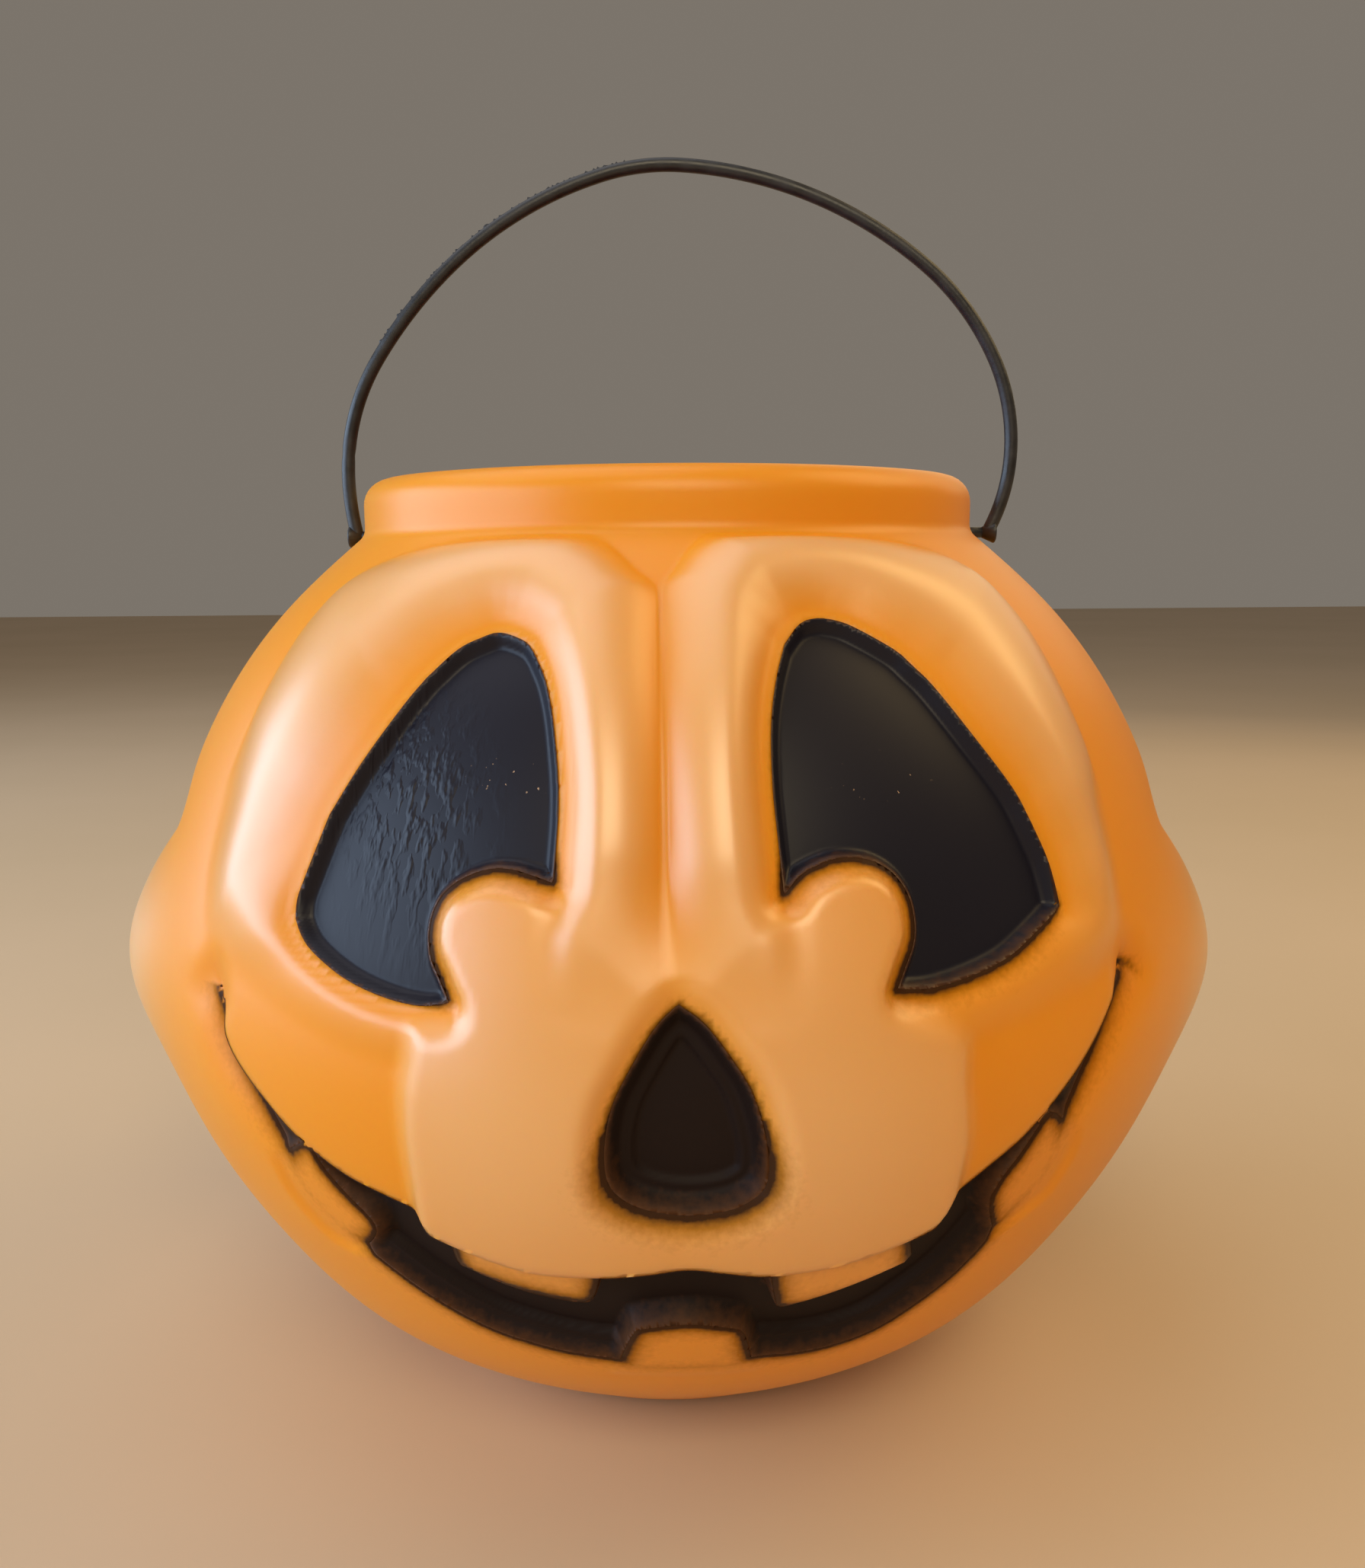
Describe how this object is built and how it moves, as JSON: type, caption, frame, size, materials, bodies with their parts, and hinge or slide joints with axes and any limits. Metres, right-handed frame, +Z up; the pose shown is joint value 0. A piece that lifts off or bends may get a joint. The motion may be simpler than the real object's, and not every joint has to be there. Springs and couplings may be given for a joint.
{
  "type": "pumpkin candy pail",
  "caption": "Round hollow pumpkin pail with a broad smiling face sunk in and painted black, an open rimmed top and a thin bent bail that swings on its neck, for carrying candy.",
  "frame": {"origin": "centre of the flat base, on the surface the pail stands on", "axes": "+Z up through the open top, -Y out of the face, +X to the right of someone who looks at the face"},
  "size_m": [0.2148, 0.2097, 0.2403],
  "materials": {
    "orange_plastic": "satin blow-moulded polyethylene",
    "black_plastic": "satin",
    "black_paint": "sprayed paint, semi-matte"
  },
  "bodies": {
    "pail": {"pail_shell": "orange_plastic", "left_eye_paint": "black_paint", "right_eye_paint": "black_paint", "nose_paint": "black_paint", "mouth_paint": "black_paint"},
    "bail": {"bail_handle": "black_plastic"}
  },
  "joints": [
    {"name": "bail_swing", "type": "hinge", "parent": "pail", "child": "bail", "pos_m": [0, 0, 0.1668], "axis": [1, 0, 0], "range_deg": [-90, 90]}
  ]
}
